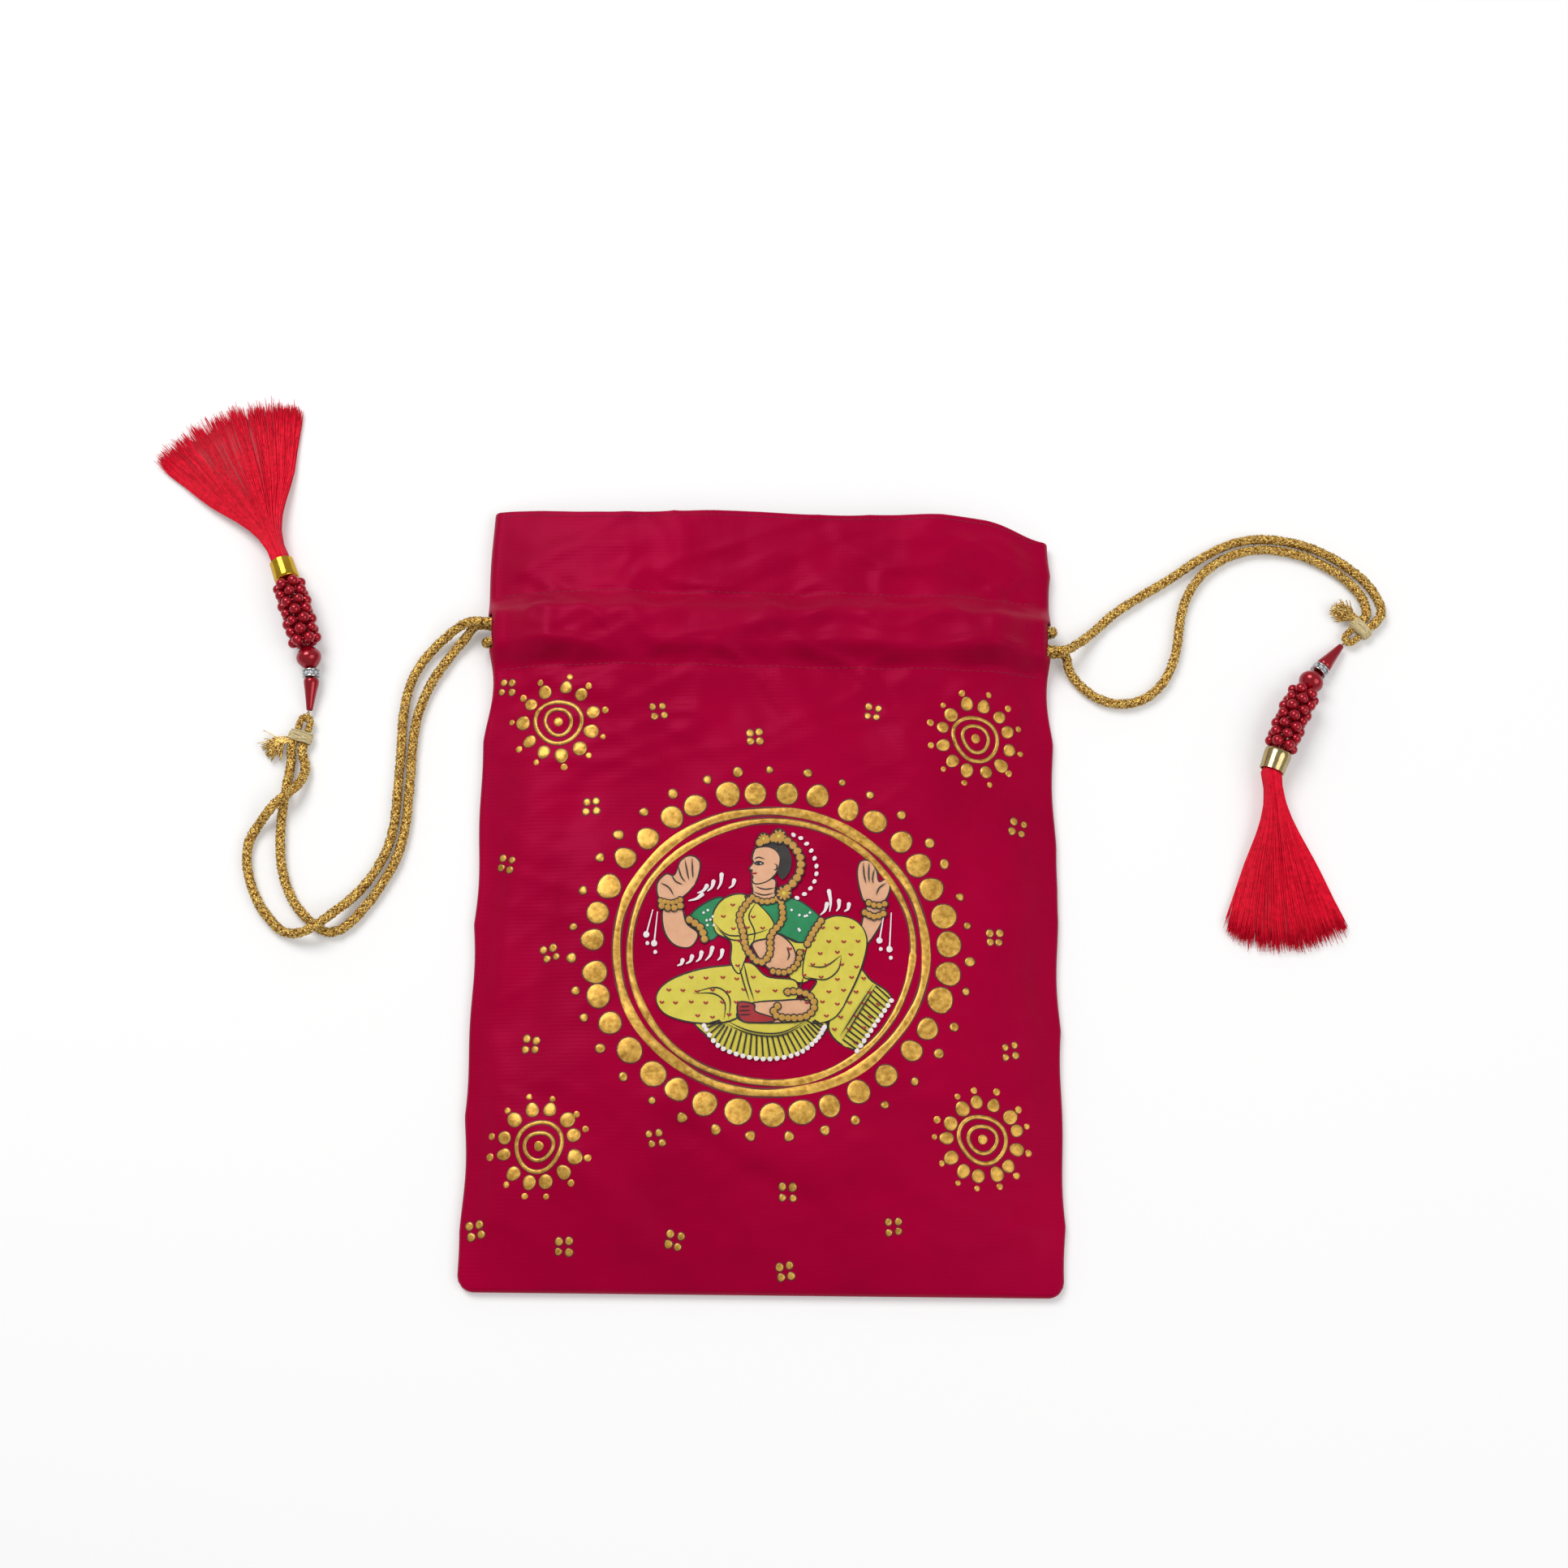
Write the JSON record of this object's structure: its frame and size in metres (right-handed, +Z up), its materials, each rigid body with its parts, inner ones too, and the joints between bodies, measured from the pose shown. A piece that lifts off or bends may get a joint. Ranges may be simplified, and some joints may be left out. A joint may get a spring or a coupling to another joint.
{
  "type": "potli bag",
  "caption": "Flat drawstring potli bag of crimson satin with gold hand-painted ornament, two gold cords and two red silk tassels, lying on its back.",
  "frame": {"origin": "centre of the bag's footprint, on the surface that it lies on", "axes": "+X to the right of the painted front, +Y towards the mouth, +Z up out of the front"},
  "size_m": [0.3966, 0.2824, 0.0158],
  "materials": {
    "cloth": "satin",
    "gold_cord": "metallic braid",
    "cream_thread": "matte",
    "pearl": "pearl",
    "brass": "polished",
    "rondelle": "polished",
    "silk": "silk thread",
    "paint": "hand-painted gold and colours"
  },
  "bodies": {
    "root": {"bag_body": "cloth", "cord_left_in_channel": "gold_cord", "cord_left_strand_1": "gold_cord", "cord_left_strand_2": "gold_cord", "end_loop_left": "gold_cord", "frayed_end_left": "gold_cord", "thread_tie_left": "cream_thread", "core_thread_left": "silk", "silk_skirt_left": "silk", "wire_eye_left": "brass", "cap_left": "brass", "rondelle_left": "rondelle", "cone_bead_left": "pearl", "big_bead_left": "pearl", "pearl_row_left_1": "pearl", "pearl_row_left_2": "pearl", "pearl_row_left_3": "pearl", "pearl_row_left_4": "pearl", "pearl_row_left_5": "pearl", "pearl_row_left_6": "pearl", "pearl_row_left_7": "pearl", "cord_right_in_channel": "gold_cord", "cord_right_strand_1": "gold_cord", "cord_right_strand_2": "gold_cord", "end_loop_right": "gold_cord", "frayed_end_right": "gold_cord", "thread_tie_right": "cream_thread", "core_thread_right": "silk", "silk_skirt_right": "silk", "wire_eye_right": "brass", "cap_right": "brass", "rondelle_right": "rondelle", "cone_bead_right": "pearl", "big_bead_right": "pearl", "pearl_row_right_1": "pearl", "pearl_row_right_2": "pearl", "pearl_row_right_3": "pearl", "pearl_row_right_4": "pearl", "pearl_row_right_5": "pearl", "pearl_row_right_6": "pearl", "pearl_row_right_7": "pearl"}
  },
  "joints": []
}
